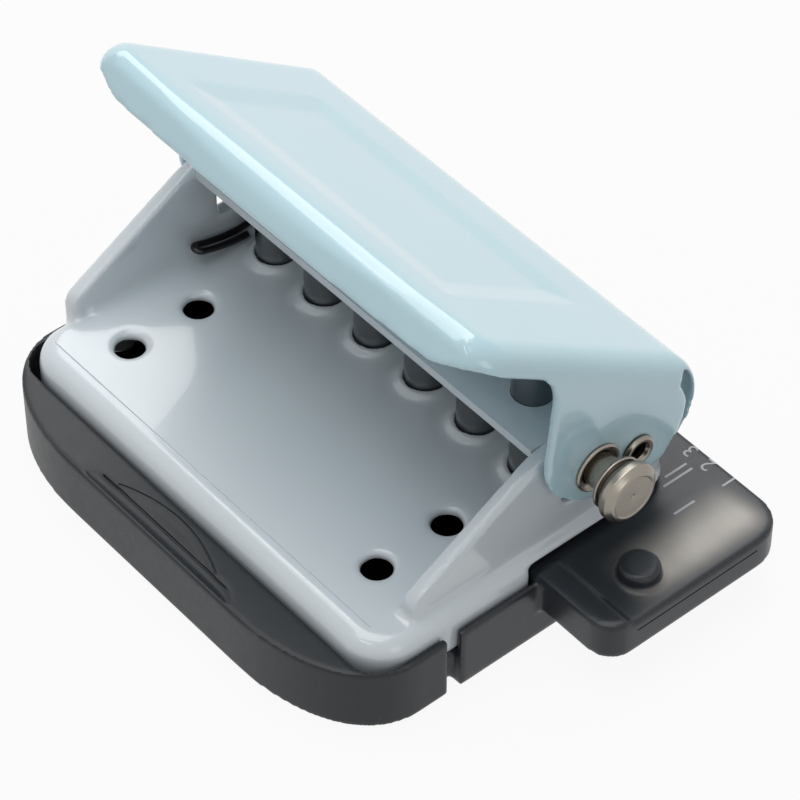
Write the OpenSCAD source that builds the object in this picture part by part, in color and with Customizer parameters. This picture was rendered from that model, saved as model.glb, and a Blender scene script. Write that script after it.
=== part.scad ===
/* [Pins] */
// Distance between neighbouring punch pins
pin_pitch = 9.5; // [9.3:0.1:10]
// Diameter of a punch pin
pin_d = 5.2; // [4.8:0.1:5.4]
// Length of a punch pin
pin_len = 19.2; // [18:0.1:21]
// Radial running clearance round a pin
pin_fit = 0.06; // [0.04:0.01:0.1]
// Height of a raised pin's cutting edge above the paper slot
pin_rise = 0.2; // [0.1:0.05:0.6]

/* [Lever] */
// Clearance between a cheek and the ear beside it
ear_gap = 0.9; // [0.7:0.05:1.2]
// Reach of the lever in front of its pivot
lever_front = 37; // [33:0.5:38]
// Height of the lever's top above its pivot when closed
lever_top = 11.7; // [11.2:0.1:13]
// Sheet thickness of the lever
lever_t = 1.2; // [0.8:0.1:1.4]
// Angle by which the lever stands open
open_angle = 35; // [30:1:36]
// Radius of the lever's rounded back
lever_back_r = 8.8; // [8.4:0.1:9.4]
// Depth of the front lip below the lever's top
lip_h = 5.3; // [4:0.1:6]
// Depth of the side flanges below the lever's top
side_h = 3.1; // [2.8:0.1:5]
// Reach of the ears below the pivot
ear_drop = 7.1; // [6.8:0.1:7.6]
// Diameter of the drive rod through the pins
rod_d = 2.4; // [2:0.1:2.6]
// Place of the rod in front of the pivot, lever closed
rod_ahead = 6.03; // [5.9:0.01:6.2]
// Place of the rod below the pivot, lever closed
rod_drop = 2.28; // [2.1:0.01:2.4]

/* [Frame] */
// Room between the last pin and the cheek beside it
spring_room = 4.45; // [4.3:0.05:5]
// Reach of the frame's rim to the right of the right cheek
rim_out = 2; // [1.6:0.1:2.6]
// Reach of the frame in front of the pin row
frame_front = 33.5; // [31:0.5:35]
// Reach of the frame behind the pin row
frame_back = 14.5; // [13.5:0.5:16]
// Height of the deck's upper face above the table
deck_z = 12; // [11.8:0.1:12.6]
// Thickness of the deck
deck_t = 1.3; // [1:0.1:1.4]
// Thickness of the frame's skirt
skirt_t = 1.5; // [1.2:0.1:1.7]
// Height of the skirt's lower edge above the table
skirt_z = 5.5; // [5.3:0.1:6]
// Radius of the frame's rounded rim
rim_r = 2.7; // [2:0.1:3]
// Radius of the frame's corners seen from above
frame_corner_r = 6; // [4:0.5:8]
// Thickness of a cheek
cheek_t = 2.3; // [2:0.1:2.4]
// Height of the cheeks' tops above the table
cheek_top_z = 25.6; // [25.4:0.1:26.2]
// Height of the pivot above the table
pivot_z = 20.3; // [20.1:0.1:20.5]
// Place of the pivot behind the pin row
pivot_y = 5.9; // [5.7:0.1:6.1]
// Height of the upper guide plate's upper face above the table
bridge_z = 25.1; // [24.9:0.1:25.3]
// Thickness of the upper guide plate
bridge_t = 1.2; // [1:0.1:1.4]

/* [Base and tray] */
// Width of the ledge to the right of the frame
ledge_right = 1.1; // [0.9:0.1:2]
// Reach of the base and the chip tray beyond the left cheek
ledge_left = 0.4; // [0.3:0.1:2]
// Reach of the base behind the pin row
base_back = 19.2; // [17:0.2:22]
// Height of the paper bed above the table
bed_z = 9.6; // [9.5:0.05:9.7]
// Thickness of the paper bed
bed_t = 1.5; // [1.3:0.1:1.7]
// Height of the ledge of the tray and the base above the table
ledge_z = 9.3; // [8.8:0.1:9.4]
// Wall thickness of the plastic pieces
wall_t = 1.2; // [1:0.1:1.4]
// Reach of the chip tray in front of the pin row
tray_front = 39.4; // [38:0.2:42]
// Width of the chip tray's long front corners
tray_corner_w = 20; // [14:0.5:22]
// Depth of the chip tray's long front corners
tray_corner_d = 12; // [9:0.5:14]
// Place of the tray's ends in front of the pin row
tray_end = 23.3; // [22.5:0.1:25]
// Place of the base's front ends in front of the pin row
base_front = 21.4; // [20.6:0.1:22]
// Place of the paper stop in front of the pin row
stop_y = 6; // [5.6:0.1:6.4]
// Width of the paper stop
stop_w = 3.4; // [3:0.1:4]
// Height of the paper stop above the bed
stop_h = 0.8; // [0.6:0.05:0.85]
// Reach of the guide beyond the middle of its peg
guide_end = 5.25; // [4.5:0.05:12]
// Height of the guide's lower edge above the table
guide_low_z = 4.8; // [3:0.1:6]
// Height of the registration peg above the bed
peg_h = 2; // [1.5:0.1:2.5]

/* [Hidden] */
$fn = 64;

// Overrun of every cut, seating gap, and gap between pieces that move apart
cut = 0.5;
seat = 0.02;
run = 0.3;

// Row of pins
pin_count = 6;
pin_xs = [for (i = [0 : pin_count - 1]) (i - (pin_count - 1) / 2) * pin_pitch];
pin_r = pin_d / 2;
pin_hole_r = pin_r + pin_fit;
slot_top_z = deck_z - deck_t;
pin_low_z = slot_top_z + pin_rise;

// Rod, in the closed lever's frame and where it stands with the lever open
rod_r = rod_d / 2;
rod_reach = norm([rod_ahead, rod_drop]);
rod_up = atan2(-rod_drop, rod_ahead) + open_angle;
rod_y = pivot_y - rod_reach * cos(rod_up);
rod_z = pivot_z + rod_reach * sin(rod_up);
rod_shut_y = pivot_y - rod_ahead;
rod_shut_z = pivot_z - rod_drop;
rod_fit = 0.08;
pin_slot_fit = 0.1;
pin_slot_w = 2 * (rod_reach - pivot_y + rod_r + pin_slot_fit);
pin_slot_h = rod_d + 2 * pin_slot_fit;

// Frame
cheek_in = pin_xs[pin_count - 1] + pin_r + spring_room;
cheek_out = cheek_in + cheek_t;
cheek_gap = 2 * cheek_in;
frame_right = cheek_out + rim_out;
rim_in = 0.8;
collar_h = 1.2;
collar_top_r = pin_r + 0.75;
groove_y = frame_front - 1.2 * rim_r;
groove_w = 0.35;
groove_d = 0.2;
deck_hole_r = 1.86;
deck_hole_lip = 0.9;
deck_hole_in = 0.35;
deck_hole_mid = 0.35;
deck_hole_x = pin_xs[pin_count - 1] - deck_hole_in;
deck_hole_near = 12.9;
deck_hole_far = 23.5;
nose_y = 26;
nose_z = 14.6;
cheek_knee_y = 6.6;
cheek_back_r = lever_back_r - lever_t - 1.1;
cheek_foot_r = 1.5;
window_y0 = -3.3;
window_y1 = 2.8;
window_z0 = 15.6;
window_z1 = 24.5;
window_r = 0.8;
tab_y0 = 3.4;
tab_y1 = 7.4;
throat_y = stop_y + stop_w + 0.4;
rib_w = cheek_gap + 2;

// Bores and bosses that fasten the base and the die plate
boss_r = 2.4;
boss_in = 3.1;
boss_x = cheek_out - boss_in;
boss_near = 15.4;
boss_far = 20.4;
boss_seam_z = skirt_z - 0.1;
screw_r = 1.25;
screw_head_r = 2.1;
screw_head_h = 1.2;
screw_len = 7.6;
base_floor = 0.8;
die_front = stop_y + stop_w;
die_back = 5.2;
die_in = 0.5;
die_half_w = cheek_out - die_in;
die_screw_r = 1;
die_screw_head_r = 1.8;
die_screw_head_h = 0.9;
die_screw_len = 2.2;
die_screw_y = stop_y + stop_w / 2;
die_screw_in = 4.25;
die_screw_x = die_half_w - die_screw_in;
die_screw_xs = [-die_screw_x, -pin_pitch, pin_pitch, die_screw_x];

// Pivot, eyelet and knob
pivot_r = 1.8;
pivot_head_r = 2.3;
pivot_head_t = 0.7;
pivot_dish_r = 1.25;
pivot_dish_t = 4;
pivot_in = 3.9;
pivot_end_x = cheek_in - pivot_in;
pivot_fit = 0.05;
ear_in = cheek_out + ear_gap;
ear_out = ear_in + lever_t;
eyelet_in = 0.1;
eyelet_r = 2.5;
eyelet_bore_r = 2.26;
eyelet_flange_r = 3.2;
eyelet_flange_t = 0.55;
neck_r = 2.2;
neck_out = 3;
neck_end_x = ear_out + neck_out;
ring_t = 0.5;
ring_r = 3.5;
ring_seat_r = 1.8;
knob_neck_r = 2.6;
head_out = 1.1;
knob_head_x = neck_end_x + head_out;
knob_head_t = 2.2;
knob_head_r = 3.95;
knob_edge_r = 0.7;
knob_ring_r = 2.8;
knob_ring_w = 0.35;
knob_travel = 2.2;
clip_r = 2.6;
clip_t = 0.6;
rod_out = 1.3;
rod_end_x = ear_out + rod_out;
rod_right_x = neck_end_x + ring_t - knob_travel - run;

// Lever outline, closed, seen from the side, from the pivot
lever_corner_r = 6.5;
lever_back_corner_r = 1.4;
lever_bow_r = 400;
lever_edge_r = 3.2;
lever_front_r = 3.4;
back_low = 1;
lip_run = 8;
lip_flat_share = 0.8;
lip_end_share = 0.97;
lip_turn_r = 1.6;
lip_flat_x = lip_flat_share * ear_out;
lip_end_x = lip_end_share * ear_out;
press_left = 24.4;
press_right = 22.8;
press_front = 30.5;
press_back = 5.6;
press_run = 3.6;
press_r = 3.2;
press_t = 0.45;
ear_step_y = 21.3;
ear_slope = 0.56;
ear_narrower = 2.2;
ear_slot_out = lever_back_r - 0.75;
ear_slot_in = ear_slot_out - 1.9;
ear_slot_start = 2.2;
ear_blend_r = 6.4;
ear_low_r = 9;
ear_turn_y = 4;
ear_heel_z = 1.7;
ear_heel_r = 2.6;

// Plastic base, tray and guide
shelf_gap = 0.2;
frame_left = cheek_out - rim_in;
base_right = frame_right + ledge_right;
base_left = cheek_out + ledge_left;
skirt_in_left = frame_left - skirt_t;
skirt_in_right = frame_right - skirt_t;
tongue_y = 25.2;
die_gap = 0.15;
guide_corner_r = 3.4;
guide_back_r = 4.6;
guide_skirt = 1.2;
side_corner_r = 2;
peg_x = pin_xs[pin_count - 1] + 2 * pin_pitch;
guide_x = peg_x + guide_end;
peg_r = 2.6;
peg_edge = 0.35;
end_groove = 0.25;
end_groove_h = 0.3;
end_groove_z = bed_z - 1.9;
tray_low_z = 0.15;
tray_corner_power = 2.2;
tray_corner_steps = 22;
ledge_in = frame_front + 0.35;
tray_pocket_r = 4;
pan_gap = 0.4;
pan_x = boss_x - boss_r - pan_gap;
pan_back = 8;
pan_floor_z = base_floor + run;
pan_top_z = skirt_z - 0.4;
base_corner_r = 2.4;
grip_x = 1.7;
grip_half_w = 14.4;
grip_slope_w = 2.4;
grip_rim = 0.45;
grip_w = 1.95;
grip_d = 0.4;
dish_half_w = 9.4;
dish_sag = 2.2;

// Springs
wire_d = 0.9;
coil_r = 3.3;
coil_start = -60;
coil_turns = 1.7;
coil_in = 0.9;
coil_x = cheek_in - coil_in;
hook_gap = 1.17;
coil_pitch = (coil_x - pin_xs[pin_count - 1] - pin_r - hook_gap) / coil_turns;
hairpin_w = 1.4;
leg_root_y = -0.8;
leg_len = 7;
leg_rise = 1.3;
leg_seat = 0.35;
leg_pull = 2.4;
hook_len = 2.9;
hook_drop = 0.25;
wire_sides = 6;

// Points of a corner of an outline, rounded to a radius
function unit(v) = v / norm(v);
function corner_points(a, b, c, r, n = 6) =
    let (u = unit(a - b), w = unit(c - b), half = acos(u * w) / 2, mid = unit(u + w),
         centre = b + mid * r / sin(half), reach = r / tan(half),
         from = b + u * reach - centre, to = b + w * reach - centre,
         a0 = atan2(from[1], from[0]), turn = atan2(to[1], to[0]) - a0,
         sweep = turn > 180 ? turn - 360 : turn < -180 ? turn + 360 : turn)
    [for (i = [0 : n]) centre + r * [cos(a0 + sweep * i / n), sin(a0 + sweep * i / n)]];

// Outline of points [x, y, radius]
function soft_outline(points) =
    let (n = len(points))
    [for (i = [0 : n - 1])
        let (p = points[i], q = [p[0], p[1]], before = points[(i + n - 1) % n],
             after = points[(i + 1) % n])
        each (p[2] > 0
            ? corner_points([before[0], before[1]], q, [after[0], after[1]], p[2]) : [q])];

// Rectangle with its own corner radii at the front and the back
module plan(x0, x1, y0, y1, rf, rb) {
    polygon(soft_outline([[x0, y0, rf], [x1, y0, rf], [x1, y1, rb], [x0, y1, rb]]));
}

// Bowed front edge, as a big circle laid over a plan
module bow(y0, r) {
    translate([0, y0 + r]) circle(r, $fn = 360);
}

// Extrusion along X of an outline in Y and Z
module along_x(x0, x1) {
    translate([x0, 0, 0]) rotate([90, 0, 90]) linear_extrude(x1 - x0) children();
}

// Extrusion along Y of an outline in X and Z
module along_y(y0, y1) {
    translate([0, y1, 0]) rotate([90, 0, 0]) linear_extrude(y1 - y0) children();
}

// Cylinder along X
module rod_x(x0, x1, y, z, r) {
    translate([x0, y, z]) rotate([0, 90, 0]) cylinder(h = x1 - x0, r = r);
}

module box(x0, x1, y0, y1, z0, z1) {
    translate([x0, y0, z0]) cube([x1 - x0, y1 - y0, z1 - z0]);
}

module both_sides() {
    children();
    mirror([1, 0, 0]) children();
}

// Places a shape that is drawn from the pivot with the lever closed
module on_lever() {
    translate([0, pivot_y, pivot_z]) rotate([-open_angle, 0, 0]) children();
}

// Solid under a rounded rim, from its plan, its width and its depth
module rimmed_block(x0, x1, y0, y1, z0, z1, corner, r) {
    intersection() {
        translate([0, 0, z0]) linear_extrude(z1 - z0) plan(x0, x1, y0, y1, corner, corner);
        along_y(y0 - cut, y1 + cut)
            polygon(soft_outline([[x0, z0, 0], [x1, z0, 0], [x1, z1, r], [x0, z1, r]]));
        along_x(x0 - cut, x1 + cut)
            polygon(soft_outline([[y0, z0, 0], [y1, z0, 0], [y1, z1, r], [y0, z1, r]]));
    }
}

// Cheek seen from the side
module cheek_outline() {
    polygon(soft_outline([
        [-nose_y, ledge_z + shelf_gap, 0], [-nose_y, nose_z, cheek_t],
        [-cheek_knee_y, cheek_top_z, lever_back_r],
        [pivot_y + cheek_back_r, cheek_top_z, cheek_back_r - cheek_t],
        [pivot_y + cheek_back_r, ledge_z + shelf_gap, 0]]));
}

module window_outline() {
    polygon(soft_outline([
        [window_y0, window_z0, window_r], [window_y1, window_z0, window_r],
        [window_y1, window_z1, window_r], [window_y0, window_z1, window_r]]));
}

// Concave fillet along the inner foot of a cheek
module cheek_foot() {
    along_y(-nose_y + cheek_t, pivot_y + cheek_back_r - cheek_t) difference() {
        translate([cheek_in - cheek_foot_r, deck_z - cut]) square([cheek_foot_r + cut, cheek_foot_r + cut]);
        translate([cheek_in - cheek_foot_r, deck_z + cheek_foot_r]) circle(cheek_foot_r);
    }
}

// Flared collar round a pin
module collar() {
    rotate_extrude() difference() {
        translate([0, -cut]) square([collar_top_r + collar_h, collar_h + cut]);
        translate([collar_top_r + collar_h, collar_h]) circle(collar_h);
    }
}

// Hole through the deck with a rounded lip
module deck_hole() {
    translate([0, 0, -deck_t - cut]) cylinder(h = deck_t + 2 * cut, r = deck_hole_r);
    rotate_extrude() difference() {
        translate([0, -deck_hole_lip]) square([deck_hole_r + deck_hole_lip, deck_hole_lip + cut]);
        translate([deck_hole_r + deck_hole_lip, -deck_hole_lip]) circle(deck_hole_lip);
    }
}

module frame_body() {
    color("white") difference() {
        union() {
            difference() {
                union() {
                    rimmed_block(-frame_left, frame_right, -frame_front, frame_back, skirt_z, deck_z,
                                 frame_corner_r, rim_r);
                    both_sides() along_x(cheek_in, cheek_out) cheek_outline();
                }
                rimmed_block(-skirt_in_left, skirt_in_right, skirt_t - frame_front, frame_back - skirt_t,
                             skirt_z - cut, slot_top_z, frame_corner_r - skirt_t, rim_r - skirt_t);
                box(-base_left, base_right, -throat_y, base_back, skirt_z - cut, slot_top_z);
            }
            box(-rib_w / 2, rib_w / 2, -stop_y - stop_w, -stop_y, bed_z, deck_z - deck_t / 2);
            both_sides() {
                cheek_foot();
                for (y = [boss_near, boss_far])
                    translate([boss_x, -y, boss_seam_z + seat])
                        cylinder(h = deck_z - deck_t / 2 - boss_seam_z - seat, r = boss_r);
            }
            for (x = pin_xs) translate([x, 0, deck_z]) collar();
        }
        for (x = pin_xs)
            translate([x, 0, skirt_z]) cylinder(h = bridge_z - skirt_z, r = pin_hole_r);
        for (x = [-deck_hole_x, deck_hole_x], y = [deck_hole_near, deck_hole_far])
            translate([deck_hole_mid + x, -y, deck_z]) deck_hole();
        box(-cheek_in, cheek_in, -groove_y, groove_w - groove_y, deck_z - groove_d, deck_z + cut);
        along_x(-cheek_out - cut, cheek_out + cut) window_outline();
        rod_x(-cheek_out - cut, cheek_out + cut, pivot_y, pivot_z, pivot_r + seat / 2);
        box(-cheek_out - cut, cheek_out + cut, tab_y0 - seat, tab_y1 + seat,
            bridge_z - bridge_t - seat, bridge_z + seat);
        both_sides() for (y = [boss_near, boss_far])
            translate([boss_x, -y, boss_seam_z - cut])
                cylinder(h = screw_len + screw_head_h - boss_seam_z + 2 * cut, r = screw_r + seat);
        for (x = die_screw_xs)
            translate([x, -die_screw_y, bed_z - cut])
                cylinder(h = die_screw_len - bed_t + 2 * cut, r = die_screw_r + seat);
    }
}

module guide_bridge() {
    color("white") difference() {
        union() {
            box(-cheek_in, cheek_in, -cheek_knee_y, pivot_y + pivot_r, bridge_z - bridge_t, bridge_z);
            box(-cheek_out, cheek_out, tab_y0, tab_y1, bridge_z - bridge_t, bridge_z);
        }
        for (x = pin_xs)
            translate([x, 0, bridge_z - bridge_t - cut]) cylinder(h = bridge_t + 2 * cut, r = pin_hole_r);
    }
}

module die_plate() {
    color("gray") difference() {
        box(-die_half_w, die_half_w, -die_front, die_back, bed_z - bed_t, bed_z);
        for (x = pin_xs)
            translate([x, 0, bed_z - bed_t - cut]) cylinder(h = bed_t + 2 * cut, r = pin_hole_r);
        for (x = die_screw_xs)
            translate([x, -die_screw_y, bed_z - bed_t - cut]) cylinder(h = bed_t + 2 * cut, r = die_screw_r + seat);
    }
}

// Pan head screw that points up from the origin, its head below
module screw(r, length, head_r, head_h, drive_r) {
    difference() {
        union() {
            cylinder(h = length, r = r);
            translate([0, 0, -head_h]) cylinder(h = head_h, r = head_r);
        }
        for (a = [0, 90])
            rotate([0, 0, a]) box(-drive_r, drive_r, -drive_r / 4, drive_r / 4, -head_h - cut, -head_h / 2);
    }
}

module die_screws() {
    color("silver") for (x = die_screw_xs)
        translate([x, -die_screw_y, bed_z - bed_t])
            screw(die_screw_r, die_screw_len, die_screw_head_r, die_screw_head_h, die_screw_r);
}

// Wall of the base on one side, with the rabbet that the frame's skirt stands in
module base_side(frame_x, base_x) {
    wall_in = frame_x - skirt_t;
    box(wall_in, base_x, -base_front, base_back, 0, skirt_z);
    box(frame_x + shelf_gap, base_x, -base_front, -throat_y, 0, ledge_z);
    box(wall_in, base_x, -throat_y + shelf_gap, base_back, 0, bed_z - bed_t - seat);
    box(die_half_w + die_gap, base_x, -stop_y - stop_w, base_back, bed_z - bed_t - cut, bed_z);
    box(wall_in, frame_x - shelf_gap, -tongue_y, -base_front + cut, base_floor, skirt_z - shelf_gap);
    for (y = [boss_near, boss_far])
        translate([boss_x, -y, 0]) cylinder(h = boss_seam_z, r = boss_r);
}

// Paper guide outline seen from above, with a smaller one for its hollow
module guide_plan(inset) {
    polygon(soft_outline([
        [skirt_in_right, -stop_y - stop_w + inset, 0],
        [guide_x - inset, -stop_y - stop_w + inset, guide_corner_r - inset],
        [guide_x - inset, base_back - inset, guide_back_r - inset],
        [skirt_in_right, base_back - inset, 0]]));
}

// What is cut from a rear corner of the base to round it
module base_corner(side, x, z) {
    translate([0, 0, -cut]) linear_extrude(z + cut) difference() {
        translate([side * (x - base_corner_r / 2 + cut / 2), base_back - base_corner_r / 2 + cut / 2])
            square(base_corner_r + cut, center = true);
        translate([side * (x - base_corner_r), base_back - base_corner_r]) circle(base_corner_r);
    }
}

module base_shell() {
    color("darkslategray") difference() {
        union() {
            base_side(frame_right, base_right);
            mirror([1, 0, 0]) base_side(frame_left, base_left);
            box(-base_left, base_right, base_back - wall_t, base_back, 0, bed_z - bed_t / 2);
            box(-base_left, base_right, -base_front, base_back, 0, base_floor);
            box(-base_left, skirt_in_right + cut, die_back + die_gap, base_back, bed_z - bed_t, bed_z);
            translate([0, 0, guide_low_z]) linear_extrude(bed_z - guide_low_z) guide_plan(0);
            intersection() {
                translate([0, 0, bed_z - cut]) linear_extrude(stop_h + cut) guide_plan(0);
                box(frame_right + shelf_gap, guide_x, -stop_y - stop_w, -stop_y, bed_z - cut, bed_z + stop_h);
            }
            translate([peg_x, 0, bed_z - cut]) cylinder(h = peg_h + cut - peg_edge, r = peg_r);
            translate([peg_x, 0, bed_z + peg_h - peg_edge])
                cylinder(h = peg_edge, r1 = peg_r, r2 = peg_r - peg_edge);
        }
        translate([0, 0, guide_low_z - cut]) linear_extrude(bed_z - bed_t - guide_low_z + cut)
            intersection() {
                guide_plan(guide_skirt);
                translate([base_right, -throat_y]) square(guide_x);
            }
        base_corner(-1, base_left, bed_z + cut);
        base_corner(1, base_right, guide_low_z);
        box(guide_x - end_groove, guide_x + cut, guide_corner_r - stop_y - stop_w,
            base_back - guide_back_r, end_groove_z, end_groove_z + end_groove_h);
        both_sides() for (y = [boss_near, boss_far]) translate([boss_x, -y, 0]) {
            translate([0, 0, -cut]) cylinder(h = boss_seam_z + 2 * cut, r = screw_r + seat);
            translate([0, 0, -cut]) cylinder(h = screw_head_h + cut, r = screw_head_r + shelf_gap);
        }
    }
}

module base_screws() {
    color("silver") both_sides() for (y = [boss_near, boss_far])
        translate([boss_x, -y, screw_head_h])
            screw(screw_r, screw_len, screw_head_r, screw_head_h - shelf_gap, screw_r);
}

// One long front corner of the tray, from its front to its side
function tray_corner(x, side, inset) =
    [for (i = [0 : tray_corner_steps])
        let (a = 90 * i / tray_corner_steps, w = tray_corner_w - inset, d = tray_corner_d - inset, q = 2 / tray_corner_power)
        [side * (x - tray_corner_w + w * pow(sin(a), q)), tray_corner_d - tray_front - d * pow(cos(a), q)]];
function backwards(points) = [for (i = [len(points) - 1 : -1 : 0]) points[i]];

// Tray outline seen from above, cut off straight at the back
module tray_plan(inset, y1) {
    polygon(concat(tray_corner(base_right, 1, inset), [[base_right - inset, y1], [inset - base_left, y1]],
                   backwards(tray_corner(base_left, -1, inset))));
}

// Finger grip along the tray's front edge, seen from above
module grip() {
    in_y = grip_w - tray_front;
    out_y = grip_rim - tray_front;
    translate([grip_x, 0]) polygon(soft_outline([
        [-grip_half_w, out_y, 0], [grip_half_w, out_y, 0],
        [grip_half_w - grip_slope_w, in_y, grip_slope_w], [grip_slope_w - grip_half_w, in_y, grip_slope_w]]));
}

// Dish behind the grip: an arc over a straight side
module dish() {
    r = (dish_half_w * dish_half_w + dish_sag * dish_sag) / dish_sag / 2;
    translate([grip_x, grip_w - tray_front]) intersection() {
        translate([0, dish_sag - r]) circle(r);
        translate([-dish_half_w, 0]) square([2 * dish_half_w, 2 * dish_sag]);
    }
}

module chip_tray() {
    color("dimgray") difference() {
        union() {
            translate([0, 0, tray_low_z]) linear_extrude(ledge_z - tray_low_z) tray_plan(0, -tray_end);
            box(-pan_x, pan_x, -frame_front, pan_back, pan_floor_z, pan_top_z);
        }
        translate([0, 0, pan_floor_z + wall_t]) linear_extrude(ledge_z - 2 * wall_t - pan_floor_z)
            tray_plan(wall_t, cut - tray_end);
        translate([0, 0, pan_top_z]) linear_extrude(ledge_z)
            plan(-frame_left - shelf_gap, frame_right + shelf_gap, -ledge_in, 0, tray_pocket_r, 0);
        box(pan_x, frame_right, -tongue_y - run, pan_back, tray_low_z - cut, pan_top_z + cut);
        box(-frame_left, -pan_x, -tongue_y - run, pan_back, tray_low_z - cut, pan_top_z + cut);
        box(wall_t - pan_x, pan_x - wall_t, -frame_front, pan_back - wall_t, pan_floor_z + wall_t, ledge_z);
        translate([0, 0, ledge_z - grip_d]) linear_extrude(grip_d + cut) grip();
        translate([0, 0, ledge_z - grip_d / 2]) linear_extrude(grip_d / 2 + cut) translate([0, -seat]) dish();
    }
}

// Half-round shape over a straight one, as the lever's back is
module bullet(r) {
    translate([0, lever_top - lever_back_r]) circle(r);
    translate([-r, -2 * ear_drop]) square([2 * r, 2 * ear_drop + lever_top - lever_back_r]);
}

// Lever seen from the side, closed: its outer skin, or its hollow at an inset
module lever_side(inset) {
    polygon(soft_outline([
        [inset - lever_front, -2 * ear_drop, 0], [0, -2 * ear_drop, 0], [0, lever_top - inset, 0],
        [inset - lever_front, lever_top - inset, lever_front_r - inset]]));
    bullet(lever_back_r - inset);
}

// Lever seen from the front: its skin or its hollow
module lever_face(inset) {
    x = ear_out - inset;
    low = -ear_drop - 2 * cut;
    polygon(soft_outline([[-x, low, 0], [x, low, 0], [x, lever_top - inset, lever_edge_r - inset / 2],
                          [-x, lever_top - inset, lever_edge_r - inset / 2]]));
}

module lever_plan(inset) {
    x = ear_out - inset;
    intersection() {
        plan(-x, x, inset - lever_front, lever_back_r - inset, lever_corner_r - inset, lever_back_corner_r);
        bow(inset - lever_front, lever_bow_r);
    }
}

module lever_block(inset) {
    intersection() {
        along_x(-ear_out - cut, ear_out + cut) lever_side(inset);
        along_y(-lever_front - cut, lever_back_r + cut) lever_face(inset);
        translate([0, 0, -ear_drop - cut]) linear_extrude(lever_top + ear_drop + 2 * cut) lever_plan(inset);
    }
}

// Shallow press mark for the fingers in the lever's top
module press_mark() {
    low = lever_top - press_t;
    high = lever_top + cut;
    rise = press_run * (press_t + cut) / press_t;
    intersection() {
        along_x(-ear_out, ear_out) polygon([
            [-press_front - rise + press_run, high], [press_run - press_front, low],
            [-press_back - press_run, low], [rise - press_run - press_back, high]]);
        along_y(-lever_front, 0) polygon([
            [-press_left - rise + press_run, high], [press_run - press_left, low],
            [press_right - press_run, low], [press_right + rise - press_run, high]]);
        translate([0, 0, low - cut]) linear_extrude(press_t + 3 * cut)
            plan(-press_left, press_right, -press_front, -press_back, press_r, press_r);
    }
}

// Everything below the lips, flanges and ears, seen from the side
module below_skin() {
    low = -2 * ear_drop;
    side_z = lever_top - side_h;
    lip_z = lever_top - lip_h;
    back = lever_back_r + cut;
    polygon(soft_outline([
        [-lever_front - cut, low, 0], [-lever_front - cut, lip_z, 0],
        [-lever_front + lip_run / 2, lip_z, lip_run / 3], [-lever_front + lip_run, side_z, lip_run / 3],
        [-ear_step_y, side_z, ear_blend_r],
        [ear_slope * (side_z + ear_drop) - ear_step_y, -ear_drop, ear_low_r],
        [-ear_turn_y, -ear_drop, ear_low_r / 2], [ear_slot_in, -ear_heel_z, ear_heel_r],
        [ear_slot_in, back_low, 0], [back, back_low, 0], [back, low, 0]]));
}

// Everything below the front lip, seen from the front
module below_lip() {
    side_z = lever_top - side_h;
    lip_z = lever_top - lip_h;
    polygon(soft_outline([
        [-ear_out - cut, 0, 0], [-ear_out - cut, side_z, 0], [-lip_end_x, side_z, lip_turn_r],
        [-lip_flat_x, lip_z, lip_turn_r], [lip_flat_x, lip_z, lip_turn_r], [lip_end_x, side_z, lip_turn_r],
        [ear_out + cut, side_z, 0], [ear_out + cut, 0, 0]]));
}

// Relief slot between an ear and the rounded back
module ear_slot() {
    difference() {
        bullet(ear_slot_out);
        bullet(ear_slot_in);
        translate([-lever_front, -2 * ear_drop]) square([lever_front + ear_slot_start, 3 * ear_drop + lever_top]);
    }
}

module lever() {
    color("lightblue") on_lever() difference() {
        lever_block(0);
        press_mark();
        difference() {
            lever_block(lever_t);
            translate([0, 0, -lever_t]) press_mark();
        }
        along_x(-ear_out - cut, ear_out + cut) below_skin();
        along_y(-lever_front - cut, lip_run + lever_t - lever_front) below_lip();
        along_x(-ear_out - cut, 0) translate([ear_narrower, 0]) intersection() {
            below_skin();
            translate([-ear_step_y - ear_blend_r, -ear_drop - cut])
                square([ear_step_y + ear_blend_r - ear_narrower - ear_turn_y, ear_drop + lever_top - side_h + cut]);
        }
        both_sides() along_x(ear_in - lever_edge_r / 2, ear_out + cut) ear_slot();
        rod_x(-ear_out - cut, ear_out + cut, 0, 0, pivot_r + pivot_fit);
        rod_x(-ear_out - cut, 0, -rod_ahead, -rod_drop, rod_r + seat);
        rod_x(0, ear_out + cut, -rod_ahead, -rod_drop, eyelet_r + seat);
    }
}

module drive_rod() {
    color("silver") rod_x(-rod_end_x, rod_right_x, rod_y, rod_z, rod_r);
}

module rod_clip() {
    color("dimgray") difference() {
        rod_x(-ear_out - clip_t - seat, -ear_out - seat, rod_y, rod_z, clip_r);
        rod_x(-ear_out - clip_t - cut, cut - ear_out, rod_y, rod_z, rod_r + seat);
        translate([-ear_out - clip_t - cut, rod_y - rod_r / 2, rod_z])
            cube([clip_t + 2 * cut, rod_r, clip_r + cut]);
    }
}

module ear_eyelet() {
    color("silver") difference() {
        union() {
            rod_x(ear_in + eyelet_in, ear_out + cut, rod_y, rod_z, eyelet_r);
            rod_x(ear_out, ear_out + eyelet_flange_t, rod_y, rod_z, eyelet_flange_r);
        }
        rod_x(ear_in - cut, ear_out + eyelet_flange_t + cut, rod_y, rod_z, eyelet_bore_r);
    }
}

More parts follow.
